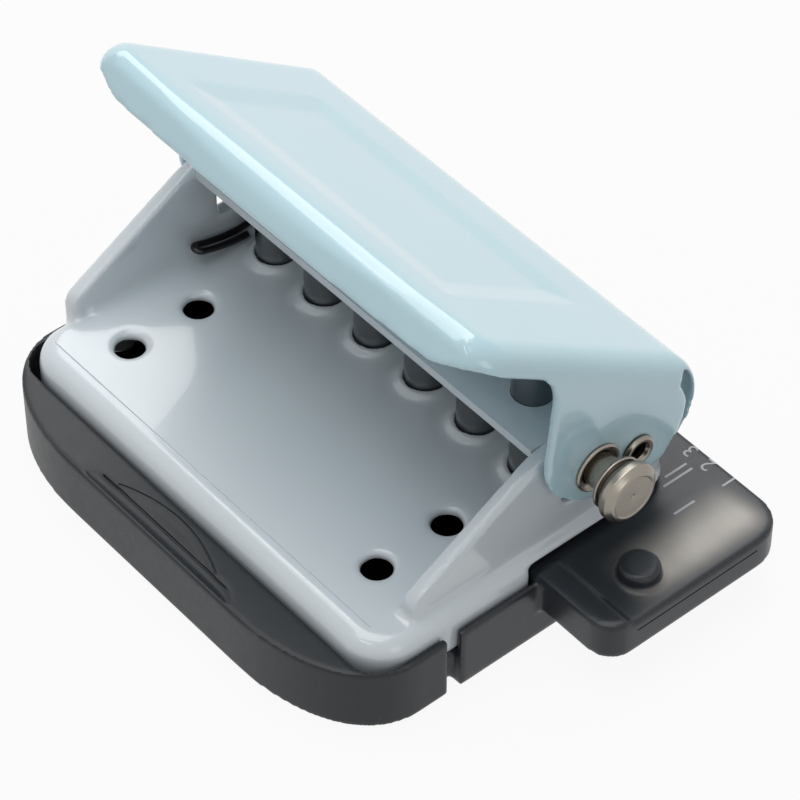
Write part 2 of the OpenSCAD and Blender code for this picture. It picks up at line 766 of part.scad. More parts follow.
// Knob turned round its own axis, which points up here and along X on the part
module knob_turned() {
    head = knob_head_x - ear_in;
    top = head + knob_head_t;
    rotate_extrude() polygon(concat(
        [[rod_r + rod_fit / 2, eyelet_in], [neck_r, eyelet_in], [neck_r, neck_end_x - ear_in],
         [ring_seat_r, neck_end_x - ear_in], [ring_seat_r, neck_end_x - ear_in + ring_t],
         [knob_neck_r, neck_end_x - ear_in + ring_t], [knob_neck_r, head]],
        corner_points([knob_neck_r, head], [knob_head_r, head], [knob_head_r, top], knob_edge_r / 2),
        corner_points([knob_head_r, head], [knob_head_r, top], [0, top], knob_edge_r),
        [[knob_ring_r + knob_ring_w, top], [knob_ring_r + knob_ring_w / 2, top - knob_ring_w / 2],
         [knob_ring_r, top], [0, top], [0, neck_end_x - ear_in + ring_t + rod_fit],
         [rod_r + rod_fit / 2, neck_end_x - ear_in + ring_t + rod_fit]]));
}

module lock_knob() {
    color("silver") translate([ear_in, rod_y, rod_z]) rotate([0, 90, 0]) knob_turned();
}

module knob_ring() {
    color("gray") difference() {
        rod_x(neck_end_x + seat, neck_end_x + ring_t - seat, rod_y, rod_z, ring_r);
        rod_x(neck_end_x - cut, neck_end_x + ring_t + cut, rod_y, rod_z, ring_seat_r + seat);
    }
}

// Headed hinge pin on the right; its end is dished
module pivot_pin() {
    color("silver") difference() {
        union() {
            rod_x(pivot_end_x, ear_out + cut, pivot_y, pivot_z, pivot_r);
            rod_x(ear_out + pivot_fit, ear_out + pivot_head_t, pivot_y, pivot_z, pivot_head_r);
        }
        rod_x(ear_out + pivot_head_t - pivot_dish_t, ear_out + pivot_head_t + cut, pivot_y, pivot_z,
              pivot_dish_r);
    }
}

module pivot_pin_left() {
    mirror([1, 0, 0]) pivot_pin();
}

module pivot_pin_right() {
    pivot_pin();
}

// Centre line of a return spring on the right, from its hairpin end to its hook under the rod
coil_mid = [pivot_y, pivot_z];
hairpin_x = coil_x - hairpin_w;
coil_end = coil_start + 360 * coil_turns;
hook_x = coil_x - coil_pitch * coil_turns;
leg_z = deck_z + wire_d / 2 + leg_seat;
hook_z = rod_z - rod_r - wire_d / 2 - hook_drop;
leg_shares = [0, 0.12, 0.4, 0.7, 1];
function leg_point(x, s) = [x, leg_root_y - s * leg_len, leg_z + leg_rise * s * s];
function coil_point(a) =
    [coil_x - coil_pitch * (a - coil_start) / 360, coil_mid[0] + coil_r * cos(a), coil_mid[1] + coil_r * sin(a)];
function bend(p, q, r, s, t) =
    p * pow(1 - t, 3) + 3 * q * t * pow(1 - t, 2) + 3 * r * t * t * (1 - t) + s * pow(t, 3);
leg_foot = leg_point(coil_x, 0);
coil_foot = coil_point(coil_start);
coil_foot_pull = [0, -leg_pull * cos(coil_start + 90), -leg_pull * sin(coil_start + 90)];
hook_root = coil_point(coil_end);
hook_tip = [hook_x, rod_y - rod_r - wire_d, hook_z];
hook_back = hook_tip + [0, hook_len, 0];
hook_pull = [0, 0, -hook_len / 3];
spring_path = concat(
    [for (s = leg_shares) leg_point(hairpin_x, s)],
    [for (a = [30 : 40 : 150])
        leg_point(coil_x - hairpin_w / 2, 1) + [-cos(a), -sin(a), sin(a) / 3] * hairpin_w / 2],
    [for (i = [len(leg_shares) - 1 : -1 : 0]) leg_point(coil_x, leg_shares[i])],
    [for (t = [0.25, 0.5, 0.75])
        bend(leg_foot, leg_foot + [0, leg_pull, 0], coil_foot + coil_foot_pull, coil_foot, t)],
    [for (a = [coil_start : 360 / 8 : coil_end - 1]) coil_point(a)],
    [for (t = [0, 0.3, 0.6, 0.85]) bend(hook_root, hook_root + hook_pull, hook_back, hook_tip, t)],
    [hook_tip + [0, wire_d, 0], hook_tip]);

// Tube swept along points: a ring square to the path at each of them
function aim(path, i) =
    unit(path[min(i + 1, len(path) - 1)] - path[max(i - 1, 0)]);
function carried(v, t) = unit(v - t * (v * t));
function ring_ups(path, i = 0, up = [1, 0, 0]) =
    i == len(path) ? [] :
    let (next = carried(up, aim(path, i))) concat([next], ring_ups(path, i + 1, next));
module tube(path, r) {
    ups = ring_ups(path);
    n = wire_sides;
    last = len(path) - 1;
    points = [for (i = [0 : last], k = [0 : n - 1])
        path[i] + r * (ups[i] * cos(360 * k / n) + cross(aim(path, i), ups[i]) * sin(360 * k / n))];
    sides = [for (i = [0 : last - 1], k = [0 : n - 1])
        let (a = i * n + k, b = i * n + (k + 1) % n) each [[a, a + n, b + n], [a, b + n, b]]];
    ends = [for (k = [1 : n - 2]) each [[0, k, k + 1], [last * n, last * n + k + 1, last * n + k]]];
    polyhedron(points, concat(sides, ends));
}

// Least gap of a spring to itself, between points well apart along the wire
function gaps(path) =
    [for (i = [0 : len(path) - 1], j = [0 : len(path) - 1]) if (j > i + 4) norm(path[i] - path[j]) - wire_d];
echo(str("least gap of a spring to itself ", min(gaps(spring_path)), " mm"));

module spring_right() {
    color("dimgray") tube(spring_path, wire_d / 2);
}

module spring_left() {
    color("dimgray") mirror([1, 0, 0]) tube(spring_path, wire_d / 2);
}

// Punch pin with the cross slot that the rod drives
module punch_pin(i) {
    color("slategray") translate([pin_xs[i - 1], 0, pin_low_z]) difference() {
        cylinder(h = pin_len, r = pin_r);
        translate([0, 0, rod_z - pin_low_z])
            cube([2 * pin_d, pin_slot_w, pin_slot_h], center = true);
    }
}

frame_body();
guide_bridge();
die_plate();
die_screws();
base_shell();
base_screws();
chip_tray();
lever();
drive_rod();
rod_clip();
ear_eyelet();
lock_knob();
knob_ring();
pivot_pin_left();
pivot_pin_right();
spring_left();
spring_right();
punch_pin(1);  // punch_pin_1
punch_pin(2);  // punch_pin_2
punch_pin(3);  // punch_pin_3
punch_pin(4);  // punch_pin_4
punch_pin(5);  // punch_pin_5
punch_pin(6);  // punch_pin_6
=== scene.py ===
"""Looks of the desk hole punch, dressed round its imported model."""

import logging
import math
from collections.abc import Callable
from dataclasses import dataclass
from enum import Enum
from typing import ClassVar

import bpy
from mathutils import Matrix, Vector


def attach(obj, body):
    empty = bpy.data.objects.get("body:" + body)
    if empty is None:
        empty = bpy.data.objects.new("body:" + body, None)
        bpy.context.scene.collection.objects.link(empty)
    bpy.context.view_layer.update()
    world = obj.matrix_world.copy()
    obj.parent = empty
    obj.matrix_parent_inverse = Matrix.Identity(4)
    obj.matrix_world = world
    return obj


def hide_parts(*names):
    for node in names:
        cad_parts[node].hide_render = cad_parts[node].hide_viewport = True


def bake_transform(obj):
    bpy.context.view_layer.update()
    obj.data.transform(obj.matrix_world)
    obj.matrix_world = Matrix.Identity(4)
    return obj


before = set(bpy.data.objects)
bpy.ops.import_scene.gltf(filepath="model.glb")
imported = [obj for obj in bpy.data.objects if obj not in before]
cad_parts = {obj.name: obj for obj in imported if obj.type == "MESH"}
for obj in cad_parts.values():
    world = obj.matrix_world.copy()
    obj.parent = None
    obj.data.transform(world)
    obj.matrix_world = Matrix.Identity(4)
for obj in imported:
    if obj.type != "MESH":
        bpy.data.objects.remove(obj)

MM = 0.001
LOG = logging.getLogger("punch")
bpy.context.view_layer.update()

PIVOT = Vector((0, 5.9, 20.3)) * MM
OPEN_ANGLE = math.radians(-35)
LEVER_OPEN = Matrix.Translation(PIVOT) @ Matrix.Rotation(OPEN_ANGLE, 4, "X")
ROD = Vector((0, -0.347, 21.891)) * MM

# Tolerances of places, in metres
SAME = 1e-7
CAD_MERGE = 2e-7
NEAR = 1e-6
LOOSE = 1e-5

# Faces and cuts of the rounded forms
FOLD_FACES = 20
CORNER_FACES = 14
RIM_FACES = 8
BOW_CUTS = 15
SECTION_FACES = 5
WIRE_RESOLUTION = 4

# Angles in degrees above which an edge stays sharp
SHELL_CREASE = 30
TURNED_CREASE = 40
WIRE_CREASE = 50

UPRIGHT = 0.999
PIN_COUNT = 6

Object = bpy.types.Object
Material = bpy.types.Material
Tree = bpy.types.NodeTree
Node = bpy.types.Node
Socket = bpy.types.NodeSocket
Triple = tuple[float, float, float]
Colour = tuple[float, float, float, float]


def srgb(red: float, green: float, blue: float) -> Colour:
    """Linear colour of an 8-bit screen colour.

    Args:
        red, green, blue: the screen colour, 0 to 255.

    Returns:
        The linear colour with full alpha.
    """
    def linear(value: float) -> float:
        """One channel made linear."""
        share = value / 255
        return share / 12.92 if share <= 0.04045 else ((share + 0.055) / 1.055) ** 2.4
    return (linear(red), linear(green), linear(blue), 1.0)


# Scene tools


def solo(obj: Object) -> None:
    """Selects one object alone and makes it the active one."""
    bpy.ops.object.select_all(action="DESELECT")
    obj.select_set(True)
    bpy.context.view_layer.objects.active = obj


def unpicked(obj: Object, kind: str) -> None:
    """Deselects all of a mesh, and sets the kind of element that is selected in it."""
    solo(obj)
    enter_edit()
    bpy.ops.mesh.select_mode(type=kind)
    bpy.ops.mesh.select_all(action="DESELECT")
    leave_edit()


def enter_edit() -> None:
    """Goes to edit mode."""
    bpy.ops.object.mode_set(mode="EDIT")


def leave_edit() -> None:
    """Goes back to object mode."""
    bpy.ops.object.mode_set(mode="OBJECT")


def applied(obj: Object, kind: str, **settings: object) -> None:
    """Adds a modifier with its settings and applies it.

    Args:
        obj: the piece.
        kind: the modifier's type.
        settings: its fields.
    """
    solo(obj)
    modifier = obj.modifiers.new(kind.title(), kind)
    for name, value in settings.items():
        setattr(modifier, name, value)
    bpy.ops.object.modifier_apply(modifier=modifier.name)


def linked(name: str, data: bpy.types.ID) -> Object:
    """Makes an object of its data and puts it in the scene."""
    obj = bpy.data.objects.new(name, data)
    bpy.context.scene.collection.objects.link(obj)
    return obj


def baked_place(obj: Object, matrix: Matrix | None = None) -> None:
    """Puts the object's place, after an optional move, into its mesh."""
    solo(obj)
    if matrix is not None:
        obj.matrix_world = matrix @ obj.matrix_world
    bpy.context.view_layer.update()
    bpy.ops.object.transform_apply(location=True, rotation=True, scale=True)


def as_mesh(obj: Object) -> Object:
    """Turns a curve or a text into a mesh."""
    solo(obj)
    bpy.ops.object.convert(target="MESH")
    return bpy.context.view_layer.objects.active


def joined(pieces: list[Object]) -> Object:
    """Joins pieces into the first one."""
    solo(pieces[0])
    for piece in pieces:
        piece.select_set(True)
    bpy.ops.object.join()
    return bpy.context.view_layer.objects.active


def combined(obj: Object, operation: str, tool: Object) -> None:
    """Combines a piece with a tool shape by a Boolean operation, and removes the tool shape."""
    applied(obj, "BOOLEAN", operation=operation, object=tool, solver="EXACT")
    bpy.data.objects.remove(tool)


def dressed(obj: Object, name: str, material: Material) -> None:
    """Names a piece, gives it one material and logs its size."""
    obj.name = obj.data.name = name
    obj.data.materials.clear()
    obj.data.materials.append(material)
    LOG.info("%s: %d faces", name, len(obj.data.polygons))


def is_closed(obj: Object) -> bool:
    """Whether a mesh is one closed skin with faces."""
    unpicked(obj, "VERT")
    enter_edit()
    bpy.ops.mesh.select_non_manifold()
    leave_edit()
    return len(obj.data.polygons) > 0 and not any(v.select for v in obj.data.vertices)


def merge(obj: Object, gap: float = SAME, outward: bool = True) -> None:
    """Merges points that all but touch.

    Args:
        obj: the piece.
        gap: the largest distance in metres that is closed.
        outward: whether the faces are then turned outward.
    """
    solo(obj)
    enter_edit()
    bpy.ops.mesh.select_all(action="SELECT")
    bpy.ops.mesh.remove_doubles(threshold=gap)
    if outward:
        bpy.ops.mesh.normals_make_consistent(inside=False)
    leave_edit()


def smooth(obj: Object, angle: float) -> None:
    """Shades a piece smooth below an angle in degrees."""
    solo(obj)
    bpy.ops.object.shade_smooth_by_angle(angle=math.radians(angle))


# Shapes


def block(low: Triple, high: Triple) -> Object:
    """Box between two corners in millimetres."""
    size = [(b - a) * MM for a, b in zip(low, high)]
    middle = [(a + b) / 2 * MM for a, b in zip(low, high)]
    bpy.ops.mesh.primitive_cube_add(size=1, location=middle, scale=size)
    obj = bpy.context.active_object
    baked_place(obj)
    return obj


@dataclass
class RoundedBlock:
    """A block with rounded upright corners under one rounded rim, in millimetres.

    Attributes:
        low, high: its two far corners.
        corner: radius of the upright corners.
        rim: radius round the top face.
        back_fold: radius of the fold along the upper rear edge, 0 for none.
        bow: radius of the front face seen from above, 0 for a straight front.
        front_zone: how far behind the front an upright corner of a folded block may lie.
    """

    low: Triple
    high: Triple
    corner: float
    rim: float
    back_fold: float = 0.0
    bow: float = 0.0
    front_zone: float = 6.0

    def build(self) -> Object:
        """Makes the block: the bow and the back fold first, then the corners, then the rim."""
        obj = block(self.low, self.high)
        if self.bow:
            self._bend_front(obj)
        if self.back_fold:
            self._bevel(obj, self._is_back_top, self.back_fold, FOLD_FACES)
        self._bevel(obj, self._is_upright, self.corner, CORNER_FACES)
        self._bevel(obj, self._is_rim, self.rim, RIM_FACES)
        applied(obj, "TRIANGULATE")
        return obj

    def _bend_front(self, obj: Object) -> None:
        """Bows the front face back towards its ends."""
        self._pick(obj, lambda a, b: abs(a.x - b.x) > MM)
        bpy.ops.mesh.subdivide(number_cuts=BOW_CUTS)
        leave_edit()
        front = self.low[1] * MM
        for v in obj.data.vertices:
            if abs(v.co.y - front) < LOOSE:
                v.co.y = front + v.co.x * v.co.x / (2 * self.bow * MM)

    def _is_back_top(self, a: Vector, b: Vector) -> bool:
        """Whether an edge is the upper rear one."""
        back, top = self.high[1] * MM - NEAR, self.high[2] * MM - NEAR
        return all(p.y > back and p.z > top for p in (a, b))

    def _is_upright(self, a: Vector, b: Vector) -> bool:
        """Whether an edge is an upright corner, at the front only where the back is folded."""
        if self.back_fold and max(a.y, b.y) > (self.low[1] + self.front_zone) * MM:
            return False
        at_end = min(abs(a.x - self.low[0] * MM), abs(a.x - self.high[0] * MM)) < NEAR
        along_z = abs((a - b).normalized().z)
        return at_end and abs(a.z - b.z) > MM and along_z > UPRIGHT

    def _is_rim(self, a: Vector, b: Vector) -> bool:
        """Whether an edge runs round the top face, or down the folded back."""
        top = self.high[2] * MM - NEAR
        if a.z > top and b.z > top:
            return self._is_outside(a, b)
        if not self.back_fold:
            return False
        side = abs(abs(a.x) - abs(b.x)) < SAME and abs(abs(a.x) - self.high[0] * MM) < NEAR
        return side and min(a.y, b.y) > (self.high[1] - self.back_fold) * MM - LOOSE

    def _is_outside(self, a: Vector, b: Vector) -> bool:
        """Whether an edge of the top face lies on its outline, and not along the folded back."""
        if abs(a.x - b.x) < SAME:
            middle = (a.x + b.x) / 2
            return min(abs(middle - self.low[0] * MM), abs(middle - self.high[0] * MM)) < NEAR
        return not (self.back_fold and abs(a.y - b.y) < SAME and a.y > 0)

    @staticmethod
    def _pick(obj: Object, test: Callable[[Vector, Vector], bool]) -> None:
        """Opens edit mode with the edges selected whose two ends pass a test."""
        unpicked(obj, "EDGE")
        for e in obj.data.edges:
            a, b = (obj.data.vertices[i].co for i in e.vertices)
            e.select = test(a, b)
        enter_edit()

    def _bevel(self, obj: Object, test: Callable[[Vector, Vector], bool], width: float,
               segments: int) -> None:
        """Rounds the edges that pass a test.

        Args:
            obj: the block.
            test: takes an edge's two ends.
            width: the radius in millimetres.
            segments: faces round the bevel.
        """
        self._pick(obj, test)
        bpy.ops.mesh.bevel(offset=width * MM, segments=segments, profile=0.5, clamp_overlap=False)
        leave_edit()


def turned(profile: list[tuple[float, float]], centre: Vector, steps: int,
           mirrored: bool = False) -> Object:
    """Spins a profile round an axis along X into a closed turned piece.

    Args:
        profile: points (place along X, radius) in millimetres, round the section.
        centre: a point on the axis in metres.
        steps: faces round the axis.
        mirrored: whether its places along X are turned over.

    Returns:
        The piece, its place in its mesh.
    """
    side = -1 if mirrored else 1
    bpy.ops.mesh.primitive_circle_add(vertices=len(profile), radius=MM)
    obj = bpy.context.active_object
    for v, (along, radius) in zip(obj.data.vertices, profile):
        v.co = (side * along * MM, 0, radius * MM)
    solo(obj)
    enter_edit()
    bpy.ops.mesh.select_all(action="SELECT")
    bpy.ops.mesh.spin(steps=steps, angle=2 * math.pi, center=(0, 0, 0), axis=(1, 0, 0))
    leave_edit()
    merge(obj)
    obj.location = centre
    baked_place(obj)
    return obj


def rounded(points: list[Triple]) -> list[tuple[float, float]]:
    """Rounds the corners of a closed outline.

    Args:
        points: corners as (u, v, radius).

    Returns:
        The outline's points.
    """
    outline: list[tuple[float, float]] = []
    for i, (u, v, r) in enumerate(points):
        here = Vector((u, v))
        if r <= 0:
            outline.append((u, v))
            continue
        before = (Vector(points[i - 1][:2]) - here).normalized()
        after = (Vector(points[(i + 1) % len(points)][:2]) - here).normalized()
        half = before.angle(after) / 2
        centre = here + (before + after).normalized() * r / math.sin(half)
        start = here + before * r / math.tan(half) - centre
        end = here + after * r / math.tan(half) - centre
        turn = start.angle_signed(end)
        for k in range(SECTION_FACES + 1):
            arm = start.copy()
            arm.rotate(Matrix.Rotation(-turn * k / SECTION_FACES, 2))
            outline.append(tuple(centre + arm))
    return outline


def wire(name: str, points: list[Vector], radius: float) -> Object:
    """Makes a closed round wire along a line.

    Args:
        name: the piece's name.
        points: the line, in millimetres.
        radius: the wire's radius in millimetres.

    Returns:
        The wire.
    """
    curve = bpy.data.curves.new(name, "CURVE")
    curve.dimensions = "3D"
    curve.bevel_depth = radius * MM
    curve.bevel_resolution = WIRE_RESOLUTION
    curve.use_fill_caps = True
    line = curve.splines.new("POLY")
    line.points.add(len(points) - 1)
    for spot, p in zip(line.points, points):
        spot.co = (*(p * MM), 1)
    obj = as_mesh(linked(name, curve))
    merge(obj)
    return obj


# Surface effects that the finishes share


# Places of the sockets of a colour mix
MIX_SHARE, MIX_FIRST, MIX_SECOND, MIX_RESULT = 0, 6, 7, 2


class Graph:
    """A node tree with short calls to add and join its nodes."""

    def __init__(self, tree: Tree) -> None:
        """Keeps the tree and empties it."""
        self.tree = tree
        tree.nodes.clear()

    def add(self, kind: str, inputs: dict | None = None, **fields: object) -> Node:
        """Adds a node.

        Args:
            kind: the node's type.
            inputs: values, or sockets to join, by input name or number.
            fields: the node's own settings.

        Returns:
            The node.
        """
        node = self.tree.nodes.new(kind)
        for name, value in fields.items():
            setattr(node, name, value)
        for name, value in (inputs or {}).items():
            if isinstance(value, Socket):
                self.tree.links.new(value, node.inputs[name])
            else:
                node.inputs[name].default_value = value
        return node

    def math(self, operation: str, *values: object) -> Socket:
        """Adds a calculation on values or sockets, and returns its result."""
        return self.add("ShaderNodeMath", dict(enumerate(values)), operation=operation).outputs[0]

    def noise(self, place: Socket, scale: object, detail: float = 2.0) -> Socket:
        """Adds noise at a place, and returns its value."""
        inputs = {"Vector": place, "Scale": scale, "Detail": detail}
        return self.add("ShaderNodeTexNoise", inputs).outputs[0]

    def mix(self, share: object, first: object, second: object) -> Socket:
        """Mixes two colours, and returns the result."""
        inputs = {MIX_SHARE: share, MIX_FIRST: first, MIX_SECOND: second}
        return self.add("ShaderNodeMix", inputs, data_type="RGBA").outputs[MIX_RESULT]

    def relief(self, height: Socket) -> Socket:
        """Turns a height in metres into a normal."""
        return self.add("ShaderNodeBump", {"Height": height, "Strength": 1.0, "Distance": 1.0}).outputs[0]

    def spread(self, value: object, low: float, high: float, to_low: float, to_high: float) -> Socket:
        """Maps a range of a value to another, clamped."""
        inputs = {0: value, 1: low, 2: high, 3: to_low, 4: to_high}
        return self.add("ShaderNodeMapRange", inputs).outputs[0]


def effect(name: str, inputs: dict[str, str], outputs: dict[str, str]) -> tuple[Graph, dict, Node]:
    """Starts a shared effect.

    Args:
        name: the effect's name.
        inputs: input names and socket types.
        outputs: output names and socket types.

    Returns:
        The graph, the inputs by name and the output node.
    """
    tree = bpy.data.node_groups.new(name, "ShaderNodeTree")
    for way, sockets in (("INPUT", inputs), ("OUTPUT", outputs)):
        for key, kind in sockets.items():
            tree.interface.new_socket(key, in_out=way, socket_type=kind)
    graph = Graph(tree)
    source = graph.add("NodeGroupInput")
    sink = graph.add("NodeGroupOutput")
    return graph, {key: source.outputs[key] for key in inputs}, sink


FLOAT, COLOUR, VECTOR = "NodeSocketFloat", "NodeSocketColor", "NodeSocketVector"

# Noise waves per metre
SLOW_WAVES, FINE_WAVES, SPECK_WAVES, CLOUD_WAVES = 55.0, 900.0, 2600.0, 160.0
NOISE_MEAN = 0.5
DUST_COLOUR = (0.75, 0.76, 0.77, 1.0)
LEAST_ROUGH = 0.02
LEAST_METAL_ROUGH = 0.05
RING_GLOSS = 0.25


def drift_effect() -> Tree:
    """Slow drift of colour and gloss over a surface, with fine dust."""
    inputs = {"Place": VECTOR, "Colour": COLOUR, "Deep": COLOUR, "Roughness": FLOAT, "Spread": FLOAT}
    graph, given, sink = effect("drift", inputs, {"Colour": COLOUR, "Roughness": FLOAT})
    place = given["Place"]
    slow = graph.noise(place, SLOW_WAVES, detail=3.0)
    fine = graph.noise(place, FINE_WAVES, detail=4.0)
    speck = graph.noise(place, SPECK_WAVES, detail=1.0)
    share = graph.spread(slow, low=0.35, high=0.7, to_low=0.0, to_high=0.5)
    tint = graph.mix(share, given["Colour"], given["Deep"])
    dust = graph.spread(speck, low=0.78, high=0.86, to_low=0.0, to_high=0.25)
    pale = graph.mix(dust, tint, DUST_COLOUR)
    swing = graph.math("SUBTRACT", fine, NOISE_MEAN)
    rough = graph.math("MULTIPLY_ADD", swing, given["Spread"], given["Roughness"])
    graph.tree.links.new(pale, sink.inputs["Colour"])
    graph.tree.links.new(graph.math("MAXIMUM", rough, LEAST_ROUGH), sink.inputs["Roughness"])
    return graph.tree


def skin_effect() -> Tree:
    """Relief of a surface as a normal: coarse waves and fine grain."""
    inputs = {"Place": VECTOR, "Wave": FLOAT, "Wave depth": FLOAT, "Grain": FLOAT, "Grain depth": FLOAT}
    graph, given, sink = effect("skin", inputs, {"Normal": VECTOR})
    wave = graph.math("MULTIPLY", graph.noise(given["Place"], given["Wave"]), given["Wave depth"])
    grain = graph.math("MULTIPLY", graph.noise(given["Place"], given["Grain"]), given["Grain depth"])
    graph.tree.links.new(graph.relief(graph.math("ADD", wave, grain)), sink.inputs["Normal"])
    return graph.tree


def lathe_effect() -> Tree:
    """Turning rings round an axis, as a normal and as a gloss change."""
    inputs = {"Place": VECTOR, "Centre": VECTOR, "Across": VECTOR, "Along": VECTOR,
              "Rings": FLOAT, "Depth": FLOAT, "Roughness": FLOAT}
    graph, given, sink = effect("lathe", inputs, {"Normal": VECTOR, "Roughness": FLOAT})

    def vector(operation: str, *values: object, out: str = "Vector") -> Socket:
        """A calculation on vectors."""
        node = graph.add("ShaderNodeVectorMath", dict(enumerate(values)), operation=operation)
        return node.outputs[out]

    arm = vector("MULTIPLY", vector("SUBTRACT", given["Place"], given["Centre"]), given["Across"])
    radius = vector("LENGTH", arm, out="Value")
    along = vector("DOT_PRODUCT", given["Place"], given["Along"], out="Value")
    spot = graph.add("ShaderNodeCombineXYZ", {0: radius, 1: along}).outputs[0]
    rings = graph.noise(spot, given["Rings"], detail=3.0)
    bump = graph.relief(graph.math("MULTIPLY", rings, given["Depth"]))
    graph.tree.links.new(bump, sink.inputs["Normal"])
    swing = graph.math("SUBTRACT", rings, NOISE_MEAN)
    rough = graph.math("MULTIPLY_ADD", swing, RING_GLOSS, given["Roughness"])
    graph.tree.links.new(graph.math("MAXIMUM", rough, LEAST_METAL_ROUGH), sink.inputs["Roughness"])
    return graph.tree


EFFECTS: dict[str, Tree] = {}


def use(graph: Graph, name: str, inputs: dict) -> Node:
    """Places a shared effect in a material, making it the first time."""
    if name not in EFFECTS:
        EFFECTS[name] = {"drift": drift_effect, "skin": skin_effect, "lathe": lathe_effect}[name]()
    return graph.add("ShaderNodeGroup", inputs, node_tree=EFFECTS[name])


def new_material(name: str) -> tuple[Material, Graph, Socket]:
    """Starts a material, and returns it with its graph and its object coordinates."""
    material = bpy.data.materials.new(name)
    material.use_nodes = True
    graph = Graph(material.node_tree)
    return material, graph, graph.add("ShaderNodeTexCoord").outputs["Object"]


def relief_of(graph: Graph, place: Socket, wave: float, wave_depth: float, grain: float,
              grain_depth: float) -> Socket:
    """Gives a surface waves and grain, by number per metre and depth in metres, and returns the normal."""
    return use(graph, "skin", {"Place": place, "Wave": wave, "Wave depth": wave_depth, "Grain": grain,
                               "Grain depth": grain_depth}).outputs["Normal"]


@dataclass(frozen=True)
class Finish:
    """A finish whose two near screen colours drift into each other, with a fine relief.

    Attributes:
        spread: how far the roughness varies.
        relief: waves per metre, their depth in metres, grains per metre and their depth in metres.
    """

    name: str
    colour: Triple
    deep: Triple
    roughness: float

    spread: ClassVar[float]
    relief: ClassVar[tuple[float, float, float, float]]

    def material(self) -> Material:
        """Builds the finish."""
        made, graph, place = new_material(self.name)
        drift = use(graph, "drift", {"Place": place, "Colour": srgb(*self.colour), "Deep": srgb(*self.deep),
                                     "Roughness": self.roughness, "Spread": self.spread})
        inputs = {"Base Color": drift.outputs["Colour"], "Roughness": drift.outputs["Roughness"]}
        inputs |= self.layers(graph, place, inputs["Base Color"])
        shader = graph.add("ShaderNodeBsdfPrincipled", inputs)
        graph.add("ShaderNodeOutputMaterial", {"Surface": shader.outputs[0]})
        return made

    def layers(self, graph: Graph, place: Socket, colour: Socket) -> dict:
        """The shader's inputs that make this kind of finish."""
        return {"Normal": relief_of(graph, place, *self.relief)}


@dataclass(frozen=True)
class Ink(Finish):
    """Pale ink printed on the guide."""

    spread = 0.2
    relief = (3000.0, 1e-6, 9000.0, 1e-6)


@dataclass(frozen=True)
class Enamel(Finish):
    """Thick baked enamel on sheet metal."""

    coat: float
    spread = 0.06
    relief = (260.0, 4e-6, 2400.0, 4e-7)

    def layers(self, graph: Graph, place: Socket, colour: Socket) -> dict:
        """A clear coat over the enamel."""
        return super().layers(graph, place, colour) | {
            "IOR": 1.5, "Coat Weight": self.coat, "Coat Roughness": 0.04, "Coat IOR": 1.5}


@dataclass(frozen=True)
class Smoke(Finish):
    """Smoke-grey moulded plastic, with painted light: its colour is painted paler where light comes through
    a thin wall.

    Attributes:
        painted_glow: the screen colour painted where light comes through the thin wall, or None.
        low, high: the box of the painted light on the thin wall, in millimetres.
        soft: how far it fades in at the box's low sides, in millimetres; half as far at the high sides.
        skin: how far it fades in height, in millimetres.
    """

    painted_glow: Triple | None = None
    low: Triple = (0, 0, 0)
    high: Triple = (0, 0, 0)
    soft: float = 7.0
    skin: float = 0.3
    spread = 0.12
    relief = (420.0, 3e-6, 5200.0, 2.2e-6)

    def layers(self, graph: Graph, place: Socket, colour: Socket) -> dict:
        """A weak gloss, and the painted light through the thin wall where there is one."""
        layers = super().layers(graph, place, colour) | {"IOR": 1.49, "Specular IOR Level": 0.36}
        if self.painted_glow:
            # Painted light: the colour turns paler where light comes through the thin wall.
            layers["Base Color"] = graph.mix(self._painted_light_mask(graph, place), colour, srgb(*self.painted_glow))
        return layers

    def _painted_light_mask(self, graph: Graph, place: Socket) -> Socket:
        """Mask of the painted light through the thin wall: near 1 inside its box, fading to 0 at its sides.
        """
        parts = graph.add("ShaderNodeSeparateXYZ", {0: place}).outputs
        cloud = graph.noise(place, CLOUD_WAVES)
        mask = graph.spread(cloud, low=0.3, high=0.7, to_low=0.75, to_high=1.0)
        for axis, rise, fall, kind in ((0, self.soft, self.soft / 2, "SMOOTHSTEP"),
                                       (1, self.soft, self.soft / 2, "SMOOTHSTEP"),
                                       (2, self.skin, self.skin, "LINEAR")):
            for edge, inside in ((self.low[axis], self.low[axis] + rise),
                                 (self.high[axis], self.high[axis] - fall)):
                ramp = graph.spread(parts[axis], edge * MM, inside * MM, to_low=0.0, to_high=1.0)
                ramp.node.interpolation_type = kind
                mask = graph.math("MULTIPLY", mask, ramp)
        return mask


class Turning(Enum):
    """Axis that the rings of a turned metal run round, as the shares across it and along it."""

    ALONG_X = ((0, 1, 1), (1, 0, 0))
    ALONG_Z = ((1, 1, 0), (0, 0, 1))


@dataclass(frozen=True)
class Metal(Finish):
    """Bare or plated metal with the rings of its turning.

    Attributes:
        centre: a point on the axis of the turning, in metres.
        rings, depth: rings per metre, and their depth in metres.
    """

    way: Turning
    centre: Triple = (0, 0, 0)
    rings: float = 2500.0
    depth: float = 2e-6
    spread = 0.1

    def layers(self, graph: Graph, place: Socket, colour: Socket) -> dict:
        """The rings, in place of the relief."""
        across, along = self.way.value
        lathe = use(graph, "lathe", {
            "Place": place, "Centre": self.centre, "Across": across, "Along": along,
            "Rings": self.rings, "Depth": self.depth, "Roughness": self.roughness}).outputs
        return {"Metallic": 1.0, "Roughness": lathe["Roughness"], "Normal": lathe["Normal"]}


